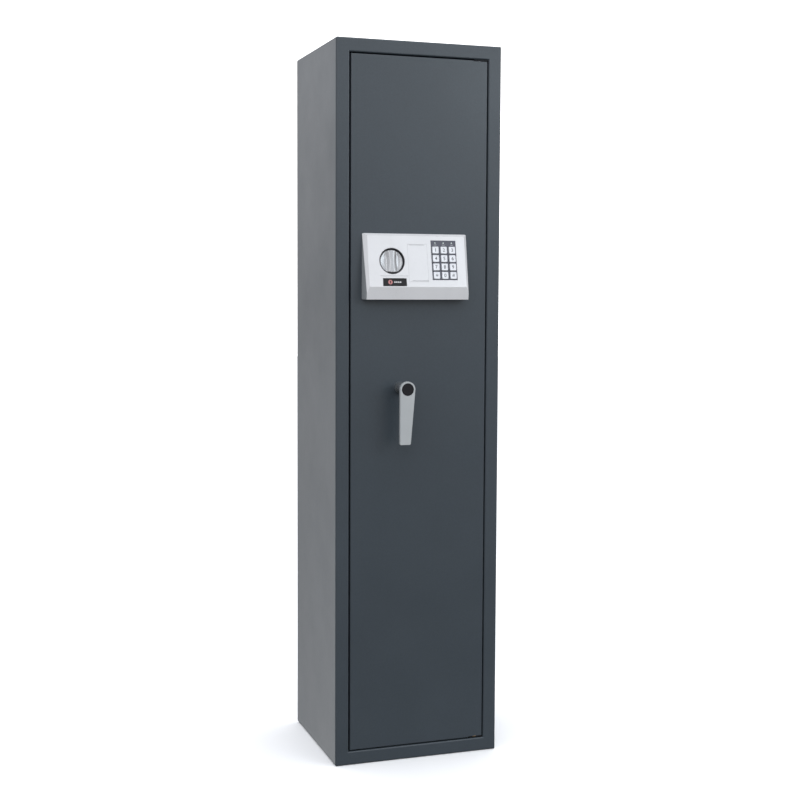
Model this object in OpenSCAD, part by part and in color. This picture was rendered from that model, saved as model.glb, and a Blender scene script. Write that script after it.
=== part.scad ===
// Tall gun cabinet with a concealed-pivot door, a knob-and-keypad electronic lock and a three-way boltwork.
// Origin: centre of the footprint on the floor. The door faces -Y, hinges on the right (+X), +Z is up. Millimetres.

/* [Cabinet] */
// Overall width
cab_w = 300; // [300:10:340]
// Overall depth, without the lock panel and the lever
cab_d = 260; // [250:10:300]
// Overall height
cab_h = 1250; // [1200:10:1350]
// Thickness of the body sheet
body_t = 2; // [1.5:0.5:2.5]
// Width of the front frame, from the outside to the door opening
frame_w = 24; // [24:1:26]
// Depth of the frame's inward return
frame_return = 20; // [18:1:21]
// Radius of the welded and ground corners, seen from the front
corner_r = 3.5; // [2:0.5:5]

/* [Door] */
// Thickness of the door sheet
door_t = 3; // [2.5:0.5:3]
// Depth of the door pan, front face to the edge of its returns
door_return = 20; // [18:1:20]
// Gap at the lock side
gap_lock = 2.5; // [2:0.5:3]
// Gap at the hinge side
gap_hinge = 2; // [2:0.5:3]
// Gap above and below the door
gap_z = 2; // [2:0.5:2.5]

/* [Boltwork] */
// Diameter of the three side bolts
bolt_d = 18; // [14:1:18]
// Diameter of the upper and lower bolts
rod_d = 14; // [12:1:14]
// Travel of every bolt for a quarter turn of the lever
bolt_throw = 18; // [16:1:18]
// Height of the lever's spindle above the floor
lever_z = 658; // [650:1:660]

/* [Lever] */
// Reach of the lever below its spindle
lever_reach = 94.5; // [85:0.5:100]
// Width of the lever at its end
lever_tip_w = 19; // [16:1:22]
// Thickness of the lever
lever_t = 6; // [5:0.5:8]

/* [Lock panel] */
// Diameter of the knob
knob_d = 41; // [38:1:42]
// Side of one key, across
key_w = 11.7; // [10:0.1:12]
// Travel of a key
key_travel = 1; // [0.5:0.1:1]
// Distance of the knob's cam pin from its shaft
slide_r = 7.0711; // [6.5:0.1:7.1]

/* [Gun rest] */
// Number of barrel notches
notches = 5; // [3:1:5]
// Width of one notch
notch_w = 38; // [30:1:40]
// Height of the barrel rest above the floor
rest_z = 905; // [850:5:950]

/* [Hidden] */
$fn = 64;

yf = -cab_d / 2;                    // front face of frame and door
yb = cab_d / 2;                     // back face
bend_r = body_t + 1;                // outer radius of a body bend
open_x = cab_w / 2 - frame_w;       // half the door opening
open_z0 = frame_w;
open_z1 = cab_h - frame_w;
door_x0 = -open_x + gap_lock;
door_x1 = open_x - gap_hinge;
door_z0 = open_z0 + gap_z;
door_z1 = open_z1 - gap_z;
pivot_x = open_x - 16;              // axis of the concealed pivots
pivot_y = yf + 7;
pivot_r = 3.5;
leaf_t = 3;
yi = yf + door_t;                   // inner face of the door sheet
dx = -(open_x - 126);               // the lock and boltwork follow the lock-side edge of the opening
dy = yf + 130;

lever_x = -35;
crank_r = bolt_throw / (2 * sin(45));
h9 = bolt_throw / 2;
bolt_y = -96;
bolt_zs = [280, 625, 970];
rod_y = -98;
rod_ux = -25.25;
rod_lx = -44.75;
rod_w = 18.5;

// the lock panel's sloping face: foot at (Y, Z), top at (Y, Z)
face_y = -155;
face_z = 832;
alpha = atan(17.5 / 91);
knob_x = -55;
knob_v = (876 - face_z) / cos(alpha);
key_x0 = 24.5;
key_px = 15.2;
key_v0 = 64.56;
key_pv = 14.77;
key_h = key_w + 0.8;
key_names = ["key_1", "key_2", "key_3", "key_4", "key_5", "key_6", "key_7", "key_8", "key_9", "key_star", "key_0", "key_hash"];

// ---------- helpers ----------
module box(a, b) translate(a) cube([b[0] - a[0], b[1] - a[1], b[2] - a[2]]);
module yrod(x, z, r, y0, y1) translate([x, y1, z]) rotate([90, 0, 0]) cylinder(h = y1 - y0, r = r);
module xrod(y, z, r, x0, x1) translate([x0, y, z]) rotate([0, 90, 0]) cylinder(h = x1 - x0, r = r);
// a plane figure drawn as (X, Z), given thickness along Y from y0 to y1
module xz(y0, y1) translate([0, y1, 0]) rotate([90, 0, 0]) linear_extrude(y1 - y0) children();
// a plane figure drawn as (Y, Z), given thickness along X from x0 to x1
module yz(x0, x1) translate([x0, 0, 0]) rotate([90, 0, 90]) linear_extrude(x1 - x0) children();
module round_rect(x0, y0, x1, y1, r) union() {
    translate([x0 + r, y0]) square([x1 - x0 - 2 * r, y1 - y0]);
    translate([x0, y0 + r]) square([x1 - x0, y1 - y0 - 2 * r]);
    for (x = [x0 + r, x1 - r], y = [y0 + r, y1 - r]) translate([x, y]) circle(r);
}
// lock and boltwork frame
module lk() translate([dx, dy, 0]) children();
// frame of the sloping face: x across, y into the panel, z up the slope
module face() lk() translate([0, face_y, face_z]) rotate([-alpha, 0, 0]) children();
module fbox(a, b) face() box(a, b);
module fcyl(x, v, r, d0, d1) face() translate([x, d1, v]) rotate([90, 0, 0]) cylinder(h = d1 - d0, r = r);

// ---------- body ----------
// one bent edge of the body: outer sheet, front frame and return
module j_profile() {
    lr = body_t + 0.5;
    translate([0, bend_r]) square([body_t, cab_d - body_t - bend_r]);
    translate([bend_r, 0]) square([frame_w - bend_r - lr, body_t]);
    intersection() {
        translate([bend_r, bend_r]) difference() { circle(bend_r); circle(bend_r - body_t); }
        square([bend_r, bend_r]);
    }
    intersection() {
        translate([frame_w - lr, lr]) difference() { circle(lr); circle(lr - body_t); }
        translate([frame_w - lr, 0]) square([lr, lr]);
    }
    translate([frame_w - body_t, lr]) square([body_t, frame_return - lr]);
}
module outline() xz(yf - 1, yb + 1) round_rect(-cab_w / 2, 0, cab_w / 2, cab_h, corner_r);
module side_panel() intersection() {
    translate([-cab_w / 2, yf, 0]) linear_extrude(cab_h) j_profile();
    xz(yf - 2, yb + 2) polygon([[-cab_w / 2 - 1, -1], [-cab_w / 2 - 1, cab_h + 1],
        [-cab_w / 2 + 28, cab_h - 28], [-cab_w / 2 + 28, 28]]);
    outline();
}
module end_panel() intersection() {
    translate([-cab_w / 2, yf, cab_h]) rotate([0, 90, 0]) linear_extrude(cab_w) j_profile();
    xz(yf - 2, yb + 2) polygon([[-cab_w / 2 - 1, cab_h + 1], [cab_w / 2 + 1, cab_h + 1],
        [cab_w / 2 - 28, cab_h - 28], [-cab_w / 2 + 28, cab_h - 28]]);
    outline();
}
module left_side_panel() color([0.30, 0.33, 0.37]) side_panel();
module right_side_panel() color([0.30, 0.33, 0.37]) mirror([1, 0, 0]) side_panel();
module top_panel() color([0.30, 0.33, 0.37]) end_panel();
// floor sheet with its four anchor holes
module bottom_panel() color([0.30, 0.33, 0.37]) difference() {
    translate([0, 0, cab_h]) mirror([0, 0, 1]) end_panel();
    for (x = [-80, 80], y = [-60, 60]) translate([x, y, -1]) cylinder(h = body_t + 2, r = 5.5);
}
// back sheet with its four wall-anchor holes
module back_panel() color([0.30, 0.33, 0.37]) difference() {
    intersection() { box([-cab_w / 2, yb - body_t, 0], [cab_w / 2, yb, cab_h]); outline(); }
    for (x = [-80, 80], z = [250, 1050]) yrod(x, z, 5.5, yb - body_t - 1, yb + 1);
}

// ---------- hinges ----------
module leaf() difference() {
    box([pivot_x - 11, yf + 2.5, open_z1 - leaf_t], [open_x, yf + frame_return + 2, open_z1]);
    translate([pivot_x, pivot_y, open_z1 - leaf_t - 1]) cylinder(h = leaf_t + 2, r = pivot_r);
}
module flip_z() translate([0, 0, cab_h]) mirror([0, 0, 1]) children();
// fixed leaves in the notches at the top and the bottom of the opening
module hinge_leaves() color([0.28, 0.31, 0.35]) { leaf(); flip_z() leaf(); }
module hinge_pin() translate([pivot_x, pivot_y, open_z1 - 18]) cylinder(h = 18, r = pivot_r);
module hinge_pins() color([0.75, 0.76, 0.78]) { hinge_pin(); flip_z() hinge_pin(); }
// bearing washer that carries the door on the lower leaf
module hinge_washer() color([0.78, 0.62, 0.30]) translate([pivot_x, pivot_y, open_z0 + leaf_t]) difference() {
    cylinder(h = 0.8, r = 6);
    translate([0, 0, -1]) cylinder(h = 3, r = pivot_r + 0.05);
}

// ---------- interior ----------
module barrel_rest_bracket() color([0.28, 0.31, 0.35]) {
    box([-cab_w / 2 + 10, yb - body_t - 20, rest_z - 3], [cab_w / 2 - 10, yb - body_t - 3, rest_z]);
    box([-cab_w / 2 + 10, yb - body_t - 3, rest_z - 35], [cab_w / 2 - 10, yb - body_t, rest_z]);
}
// foam block with open notches for the barrels
module barrel_rest() color([0.12, 0.12, 0.13]) translate([0, 0, rest_z]) linear_extrude(25) difference() {
    translate([-cab_w / 2 + 8, yb - body_t - 60]) square([cab_w - 16, 60]);
    for (i = [0:notches - 1]) translate([(i - (notches - 1) / 2) * 54, yb - body_t - 60]) {
        translate([0, 20]) circle(notch_w / 2);
        translate([-notch_w / 2, -1]) square([notch_w, 21]);
    }
}
module floor_mat() color([0.14, 0.14, 0.15]) difference() {
    box([-cab_w / 2 + 12, yf + 50, body_t], [cab_w / 2 - 12, yb - 10, body_t + 4]);
    for (x = [-80, 80], y = [-60, 60]) translate([x, y, body_t - 1]) cylinder(h = 6, r = 9);
}

// ---------- door ----------
module door_outer() intersection() {
    translate([0, 0, door_z0]) linear_extrude(door_z1 - door_z0) union() {
        translate([door_x0, yf + 2]) square([door_x1 - door_x0, door_return - 2]);
        translate([door_x0 + 2, yf]) square([door_x1 - door_x0 - 4, 3]);
        for (x = [door_x0 + 2, door_x1 - 2]) translate([x, yf + 2]) circle(2);
    }
    yz(door_x0, door_x1) union() {
        translate([yf + 2, door_z0]) square([door_return - 2, door_z1 - door_z0]);
        translate([yf, door_z0 + 2]) square([3, door_z1 - door_z0 - 4]);
        for (z = [door_z0 + 2, door_z1 - 2]) translate([yf + 2, z]) circle(2);
    }
}
module hinge_corner() difference() {
    box([pivot_x - 14, yi, open_z1 - leaf_t - 5], [door_x1 - door_t, yf + door_return, door_z1 - door_t]);
    translate([pivot_x, pivot_y, open_z1 - 30]) cylinder(h = 40, r = 3.9);
}
module hinge_notch() {
    box([pivot_x - 12, yf - 1, open_z1 - leaf_t - 1], [door_x1 + 1, yf + door_return + 1, door_z1 + 1]);
    translate([pivot_x, pivot_y, open_z1 - 30]) cylinder(h = 40, r = 3.9);
}
// folded steel pan with its returns and the cut-outs for lever and lock
module door_panel() color([0.29, 0.32, 0.36]) difference() {
    union() {
        difference() {
            door_outer();
            box([door_x0 + door_t, yi, door_z0 + door_t], [door_x1 - door_t, yf + door_return + 1, door_z1 - door_t]);
        }
        hinge_corner();
        flip_z() hinge_corner();
    }
    hinge_notch();
    flip_z() hinge_notch();
    lk() {
        yrod(lever_x, lever_z, 8, -131, -126);
        yrod(knob_x, 872.9, 7, -131, -126);
        yrod(-52, 840, 6, -131, -126);
        yrod(39.7, 830, 6, -131, -126);
        box([-24, -131, 843], [7.5, -126, 903]);
        for (x = [-96, 75], z = [820, 912]) yrod(x, z, 2.2, -131, -126);
    }
}
module pivot_block() difference() {
    box([pivot_x - 13, yi, open_z1 - leaf_t - 17], [door_x1 - door_t, yf + door_return - 1, open_z1 - leaf_t - 5]);
    translate([pivot_x, pivot_y, open_z1 - 30]) cylinder(h = 40, r = pivot_r + 0.05);
}
module pivot_blocks() color([0.55, 0.56, 0.58]) { pivot_block(); flip_z() pivot_block(); }
// angle that guides the side bolts and carries one edge of the cover
module bolt_guide() color([0.35, 0.37, 0.40]) difference() {
    lk() {
        box([door_x0 + door_t - dx, yi - dy, 130], [-117.5, -82, cab_h - 130]);
        box([-117.5, -85, 130], [-103, -82, cab_h - 130]);
    }
    lk() for (z = bolt_zs) xrod(bolt_y, z, bolt_d / 2 + 0.1, -130, -110);
    lk() for (z = [160, 420, 800, cab_h - 160]) yrod(-108, z, 2, -90, -80);
}
module cover_rail() color([0.35, 0.37, 0.40]) difference() {
    translate([open_x - 126, dy, 0]) {
        box([84, yi - dy, 130], [104, yi - dy + 2.5, cab_h - 130]);
        box([101.5, yi - dy + 2.5, 130], [104, -82, cab_h - 130]);
        box([84, -85, 130], [101.5, -82, cab_h - 130]);
    }
    translate([open_x - 126, dy, 0]) for (z = [160, 420, 800, cab_h - 160]) yrod(92, z, 2, -90, -80);
}
// tray that closes the boltwork from inside
module boltwork_cover() color([0.27, 0.30, 0.34]) difference() {
    union() {
        box([-116 + dx, -82 + dy, 128.5], [open_x - 22, -80.5 + dy, cab_h - 128.5]);
        for (z = [128.5, cab_h - 130]) box([-112 + dx, -124 + dy, z], [open_x - 28, -82 + dy, z + 1.5]);
    }
    lk() {
        for (z = [160, 420, 800, cab_h - 160]) yrod(-108, z, 2, -90, -80);
        box([rod_ux - rod_w / 2 - 1.5, -101.5, cab_h - 135], [rod_ux + rod_w / 2 + 1.5, -94.5, cab_h - 125]);
        box([rod_lx - rod_w / 2 - 1.5, -101.5, 125], [rod_lx + rod_w / 2 + 1.5, -94.5, 135]);
        yrod(-46, 898, 4.4, -83, -80);
    }
    translate([open_x - 126, dy, 0]) for (z = [160, 420, 800, cab_h - 160]) yrod(92, z, 2, -90, -80);
}
module screw(z) {
    yrod(0, z, 2, -85.3, -80.5);
    yrod(0, z, 4, -80.5, -78.5);
}
module cover_screws() color([0.80, 0.81, 0.83]) for (z = [160, 420, 800, cab_h - 160]) {
    lk() translate([-108, 0, 0]) screw(z);
    translate([open_x - 126 + 92, dy, 0]) screw(z);
}
module rod_guide(x, z) lk() difference() {
    union() {
        box([x - 16, yi - dy, z], [x + 16, -88, z + 4]);
        box([x - 16, yi - dy, z + 4], [x + 16, yi - dy + 3, z + 22]);
    }
    translate([x, rod_y, z - 1]) cylinder(h = 6, r = rod_d / 2 + 0.1);
}
// angle guides of the upper and lower bolts
module rod_guides() color([0.35, 0.37, 0.40]) {
    rod_guide(rod_ux, cab_h - 80);
    flip_z() rod_guide(rod_lx, cab_h - 80);
}

// ---------- lever and boltwork ----------
module spindle_bush() color([0.78, 0.62, 0.30]) lk() difference() {
    union() {
        yrod(lever_x, lever_z, 8, -130, -113);
        yrod(lever_x, lever_z, 11.5, -131.2, -130);
    }
    yrod(lever_x, lever_z, 5.05, -140, -110);
}
module lever_handle() color([0.68, 0.70, 0.71]) lk() difference() {
    union() {
        xz(-174, -174 + lever_t) union() {
            translate([lever_x, lever_z]) circle(13.5);
            translate([lever_x, lever_z]) polygon([[-13.5, 0], [-13.5, 5 - lever_reach], [-12.2, 1.5 - lever_reach], [-9, -lever_reach],
                [lever_tip_w - 18, -lever_reach], [lever_tip_w - 14.8, 1.5 - lever_reach], [lever_tip_w - 13.5, 5 - lever_reach], [13.5, 0]]);
        }
        yrod(lever_x, lever_z, 9.5, -174 + lever_t, -131.5);
    }
    yrod(lever_x, lever_z, 10.5, -175, -172);
    yrod(lever_x, lever_z, 5, -160, -130);
}
module lever_cap() color([0.10, 0.10, 0.11]) lk() yrod(lever_x, lever_z, 10.5, -174.4, -172);
module lever_spindle() color([0.75, 0.76, 0.78]) lk() yrod(lever_x, lever_z, 5, -160, -100);
// crank disc: one pin in front for the side bolts, two behind for the rods
module cam_disc() color([0.62, 0.63, 0.65]) lk() translate([lever_x, 0, lever_z]) difference() {
    union() {
        yrod(0, 0, 20, -104, -100);
        yrod(h9, h9, 3, -109.5, -104);
        yrod(h9, -h9, 3, -100, -95.8);
        yrod(-h9, h9, 3, -100, -95.8);
    }
    yrod(0, 0, 5, -105, -99);
}
// vertical bar with the crank fork and the notched lock tab
module bolt_bar() color([0.62, 0.63, 0.65]) lk() difference() {
    union() {
        box([-98, -109, 255], [-93, -86, 995]);
        box([-98, -116, 834], [-93, -109, 852]);
        box([-93, -116, 834], [-49, -113, 852]);
        box([-93, -108.5, lever_z + 7], [lever_x + h9 + 7, -105.5, lever_z + 24]);
    }
    for (z = bolt_zs) xrod(bolt_y, z, 5, -99, -92);
    for (x = [-75, -75 + bolt_throw]) box([x - 4.5, -117, 843], [x + 4.5, -112, 853]);
    box([lever_x + h9 - 3.45, -110, lever_z + 6], [lever_x + h9 + 3.45, -104, lever_z + 17.5]);
}
module side_bolts() color([0.80, 0.81, 0.83]) lk() for (z = bolt_zs) {
    xrod(bolt_y, z, bolt_d / 2, -121, -98);
    xrod(bolt_y, z, 5, -98, -84);
}
module bolt_nuts() color([0.72, 0.73, 0.75]) lk() for (z = bolt_zs) difference() {
    translate([-93, bolt_y, z]) rotate([0, 90, 0]) cylinder(h = 7, r = 9.2, $fn = 6);
    xrod(bolt_y, z, 5, -94, -84);
}
// flat rod from the crank disc to a round bolt behind the frame
module upper_rod() color([0.62, 0.63, 0.65]) lk() {
    difference() {
        box([rod_ux - rod_w / 2, -99.5, lever_z - h9 - 9], [rod_ux + rod_w / 2, -96.5, cab_h - 106]);
        box([lever_x + h9 - 3.6, -101, lever_z - h9 - 3.45], [lever_x + crank_r + 3.6, -95, lever_z - h9 + 3.45]);
    }
    translate([rod_ux, rod_y, cab_h - 112]) cylinder(h = 84, r = rod_d / 2);
}
module lower_rod() color([0.62, 0.63, 0.65]) lk() {
    difference() {
        box([rod_lx - rod_w / 2, -99.5, 106], [rod_lx + rod_w / 2, -96.5, lever_z + h9 + 9]);
        box([lever_x - crank_r - 3.6, -101, lever_z + h9 - 3.45], [lever_x - h9 + 3.6, -95, lever_z + h9 + 3.45]);
    }
    translate([rod_lx, rod_y, 28]) cylinder(h = 84, r = rod_d / 2);
}

// ---------- lock panel ----------
module wedge(x0, x1, p) lk() yz(x0, x1) polygon(p);
// outer form of the shell: drafted sides, bevels along the left, right and upper edges of the face
module shell_form() intersection() {
    wedge(-104, 85, [[-130, 810.5], [-151, 810.5], [-155, 832], [-138.25, 919.1], [-132.49, 923], [-130, 923]]);
    lk() translate([0, 0, 800]) linear_extrude(140) polygon([[-104, -120], [-104, -130], [-101.6, -155.2], [82.6, -155.2], [85, -130], [85, -120]]);
    face() translate([0, 0, -60]) linear_extrude(220) polygon([[-97.5, 0], [78.5, 0], [118.5, 40], [-137.5, 40]]);
}
// moulded shell: knob well, keypad opening, battery box and key-lock seat
module lock_housing() color([0.87, 0.87, 0.89]) difference() {
    intersection() {
        union() {
            difference() {
                shell_form();
                wedge(-98.5, 79.5, [[-129, 813], [-148.6, 813], [-152.45, 832], [-135.81, 918.5], [-129, 918.5]]);
            }
            fcyl(knob_x, knob_v, 25, 0, 12);
            fbox([-28, 0, 7.2], [11, 4.4, 76.3]);
            fbox([-75, 0, 0.2], [-29, 4, 17]);
            lk() box([-23.5, -150, 843.5], [7, -120, 902.5]);
            lk() for (x = [-96, 75], z = [820, 912]) yrod(x, z, 5, -150, -130);
        }
        union() {
            shell_form();
            lk() box([-23.5, -131, 843.5], [7, -120, 902.5]);
        }
        lk() xz(-156, -100) round_rect(-104, 810.5, 85, 923, 2.5);
    }
    // knob well and its shaft hole
    fcyl(knob_x, knob_v, 22.75, -5, 10.5);
    fcyl(knob_x, knob_v, 4.6, 9, 30);
    // battery cover seat and battery box
    fbox([-26.3, -5, 8.9], [9.3, 2.3, 74.6]);
    lk() box([-22, -160, 845], [5.5, -121.5, 901]);
    // badge seat and key-lock hole
    fbox([-73.3, -5, 1.3], [-30.7, 1.8, 15.1]);
    lk() yrod(-52, 840, 6.2, -160, -130);
    // keypad opening
    fbox([16.5, -5, 12.2], [62.5, 6, 81.5]);
    lk() for (x = [-96, 75], z = [820, 912]) yrod(x, z, 2, -136.5, -129);
    // pry groove above the badge
    fbox([-77, -1, 18.4], [-28, 1, 19.3]);
}
// screws that hold the housing from inside the door
module housing_screws() color([0.72, 0.73, 0.75]) lk() for (x = [-96, 75], z = [820, 912]) {
    yrod(x, z, 2, -135.5, yi - dy);
    yrod(x, z, 4, yi - dy, yi - dy + 3);
}
module knob_ring() color([0.16, 0.16, 0.18]) difference() {
    fcyl(knob_x, knob_v, 22.75, 0.6, 10.5);
    fcyl(knob_x, knob_v, 21.2, 0, 9.8);
    fcyl(knob_x, knob_v, 4.6, 0, 30);
}
module knob() color([0.80, 0.81, 0.82]) difference() {
    union() {
        fcyl(knob_x, knob_v, knob_d / 2, 4.5, 9.4);
        intersection() {
            fbox([knob_x - 4.5, 0.6, knob_v - 19], [knob_x + 4.5, 5, knob_v + 19]);
            fcyl(knob_x, knob_v, 19, 0, 6);
        }
    }
    fcyl(knob_x, knob_v, 4, 6, 12);
}
// shaft through the door with the pin that works the slide
module knob_spindle() color([0.75, 0.76, 0.78]) {
    fcyl(knob_x, knob_v, 4, 6, 26.3);
    fcyl(knob_x, knob_v, 9.5, 26.3, 28.8);
    fcyl(knob_x - slide_r * sin(45), knob_v + slide_r * sin(45), 2, 28.8, 36);
}
// slide that drops its tongue into the bolt bar's tab
slide_z = face_z + knob_v * cos(alpha) - (face_y + 114.5 + knob_v * sin(alpha)) * -tan(alpha) + slide_r * sin(45) / cos(alpha);
module lock_slide() color([0.72, 0.66, 0.48]) lk() difference() {
    union() {
        box([-70, -116, 868.4], [-53, -113, 900]);
        box([-84, -116, 868.4], [-70, -113, 884]);
        box([-79, -116, 854.5], [-71, -113, 868.4]);
    }
    box([-65.6, -117, slide_z - 3], [-56.8, -112, slide_z + 3]);
    for (z = [883, 883 + 10.18]) box([-58, -117, z - 3.5], [-52, -112, z + 3.5]);
}
// box on the inside of the door around slide and solenoid
module lock_case() color([0.35, 0.37, 0.40]) lk() difference() {
    union() {
        difference() {
            box([-88, yi - dy, 856], [-26, -101.5, 905]);
            box([-86.5, -140, 857.5], [-27.5, -103, 903.5]);
        }
        box([-86.5, -112.6, 863], [-84.4, -103, 876]);
        box([-52.6, -116, 861], [-50.6, -103, 876]);
    }
    box([-80, -118, 855], [-70, -111, 858]);
    yrod(-46, 898, 4.4, -104, -100);
}
module solenoid_body() color([0.55, 0.56, 0.58]) lk() difference() {
    union() {
        box([-44, -121.5, 876], [-29, -107.5, 890]);
        box([-29, -119, 878.5], [-27.5, -110, 887.5]);
    }
    xrod(-114.5, 883, 3.05, -45, -31);
}
module solenoid_plunger() color([0.80, 0.81, 0.83]) lk() {
    xrod(-114.5, 883, 3, -50, -32);
    xrod(-114.5, 883, 3.8, -45.6, -44.8);
}
module control_board() color([0.10, 0.33, 0.20]) lk() {
    box([-49.5, -104.6, 858.5], [-29, -103, 902.5]);
    box([-40, -106.6, 861], [-31, -104.6, 873]);
    box([-48, -106.1, 862], [-43, -104.6, 869]);
}
module reset_button() color([0.65, 0.10, 0.10]) lk() {
    yrod(-46, 898, 4, -100.6, -78.5);
    yrod(-46, 898, 5.5, -84, -83);
}
module battery_cover() color([0.87, 0.87, 0.89]) difference() {
    fbox([-26, 0, 9.2], [9, 2, 74.3]);
    fbox([-22.6, -1, 72.4], [3.6, 1.2, 73.4]);
    fbox([-20, -1, 10.2], [9.4, 1.2, 11.2]);
}
// block battery with its terminals
module battery() color([0.20, 0.22, 0.26]) lk() {
    box([-21.5, -138.9, 845], [5, -121.5, 893.5]);
    for (x = [-14.5, -2]) translate([x, -130.2, 893.5]) cylinder(h = 3, r = 3);
}
module badge_cover() color([0.13, 0.13, 0.14]) fbox([-73, 0, 1.6], [-31, 1.5, 14.8]);
module key_cylinder() color([0.76, 0.77, 0.79]) lk() difference() {
    yrod(-52, 840, 6, -150, -121.5);
    yrod(-52, 840, 4.05, -151, -121);
}
// turning plug with a keyway and the tail cam
module key_plug() color([0.78, 0.70, 0.42]) lk() difference() {
    union() {
        yrod(-52, 840, 4, -150, -118);
        box([-55, -120.5, 840], [-49, -118, 853]);
    }
    box([-52.6, -151, 837.2], [-51.4, -146, 842.8]);
}
module keypad_bezel() color([0.27, 0.27, 0.31]) difference() {
    fbox([16.5, 0.2, 12.2], [62.5, 5.2, 81.5]);
    fbox([18, 3, 13.7], [61, 6, 80]);
    for (i = [0:11]) face() translate([key_x0 + (i % 3) * key_px, 0, key_v0 - floor(i / 3) * key_pv])
        box([-key_w / 2 - 0.35, -1, -key_h / 2 - 0.35], [key_w / 2 + 0.35, 4, key_h / 2 + 0.35]);
    for (i = [0:2]) fcyl(key_x0 + i * key_px, 77.1, 1.2, -1, 4);
}
module keypad_mat() color([0.45, 0.45, 0.47]) fbox([16.5, 5.2, 12.2], [62.5, 6.2, 81.5]);
module keypad_board() color([0.10, 0.33, 0.20]) fbox([16.5, 6.2, 12.2], [62.5, 7.8, 81.5]);
module status_leds() color([0.75, 0.85, 0.80]) for (i = [0:2]) fcyl(key_x0 + i * key_px, 77.1, 1.2, -0.1, 5.2);
// one key, numbered from the top left
module key(i) color([0.88, 0.88, 0.90]) face()
    translate([key_x0 + (i % 3) * key_px, 0, key_v0 - floor(i / 3) * key_pv])
    box([-key_w / 2, -1.5, -key_h / 2], [key_w / 2, 4.9 - key_travel, key_h / 2]);

left_side_panel();
right_side_panel();
top_panel();
bottom_panel();
back_panel();
hinge_leaves();
hinge_pins();
hinge_washer();
barrel_rest_bracket();
barrel_rest();
floor_mat();
door_panel();
pivot_blocks();
bolt_guide();
cover_rail();
boltwork_cover();
cover_screws();
rod_guides();
spindle_bush();
lever_handle();
lever_cap();
lever_spindle();
cam_disc();
bolt_bar();
side_bolts();
bolt_nuts();
upper_rod();
lower_rod();
lock_housing();
housing_screws();
knob_ring();
knob();
knob_spindle();
lock_slide();
lock_case();
solenoid_body();
solenoid_plunger();
control_board();
reset_button();
battery_cover();
battery();
badge_cover();
key_cylinder();
key_plug();
keypad_bezel();
keypad_mat();
keypad_board();
status_leds();
for (i = [0:11]) key(i);
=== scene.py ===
import math, random
import bpy, bmesh
from mathutils import Vector, Matrix


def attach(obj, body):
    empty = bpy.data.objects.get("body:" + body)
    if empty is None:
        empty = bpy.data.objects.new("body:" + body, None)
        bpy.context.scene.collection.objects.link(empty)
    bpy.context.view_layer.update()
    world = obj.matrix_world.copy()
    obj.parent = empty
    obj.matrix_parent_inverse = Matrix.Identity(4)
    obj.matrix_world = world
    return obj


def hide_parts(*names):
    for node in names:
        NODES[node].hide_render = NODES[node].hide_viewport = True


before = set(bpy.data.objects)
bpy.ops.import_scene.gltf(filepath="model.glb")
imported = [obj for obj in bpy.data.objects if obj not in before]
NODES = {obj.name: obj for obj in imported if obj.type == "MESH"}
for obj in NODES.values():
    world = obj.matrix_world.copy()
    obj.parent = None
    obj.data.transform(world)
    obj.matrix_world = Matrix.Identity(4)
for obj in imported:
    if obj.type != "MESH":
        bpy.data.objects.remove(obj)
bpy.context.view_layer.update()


random.seed(7)
MM = 0.001

# ------------------------------------------------------------------ camera
YAW, PITCH, ROLL = 0.3280, 0.0724, 0.0044
F_PX = 1369.29
cam_data = bpy.data.cameras.new("camera")
cam = bpy.data.objects.new("camera", cam_data)
bpy.context.collection.objects.link(cam)
cam_data.sensor_width = 36.0
cam_data.lens = F_PX / 800 * 36.0
cam_data.clip_end = 50
cam_data.shift_y = -0.02
fwd = Vector((math.sin(YAW) * math.cos(PITCH), math.cos(YAW) * math.cos(PITCH), -math.sin(PITCH)))
right = Vector((math.cos(YAW), -math.sin(YAW), 0))
up = right.cross(fwd)
c, s = math.cos(ROLL), math.sin(ROLL)
r2, u2 = c * right + s * up, -s * right + c * up
cam.matrix_world = Matrix((
    (r2.x, u2.x, -fwd.x, -0.7952), (r2.y, u2.y, -fwd.y, -2.3659), (r2.z, u2.z, -fwd.z, 0.8358), (0, 0, 0, 1)))
bpy.context.scene.camera = cam
bpy.context.scene.view_settings.view_transform = "Standard"

# ------------------------------------------------------------------ materials


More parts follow.
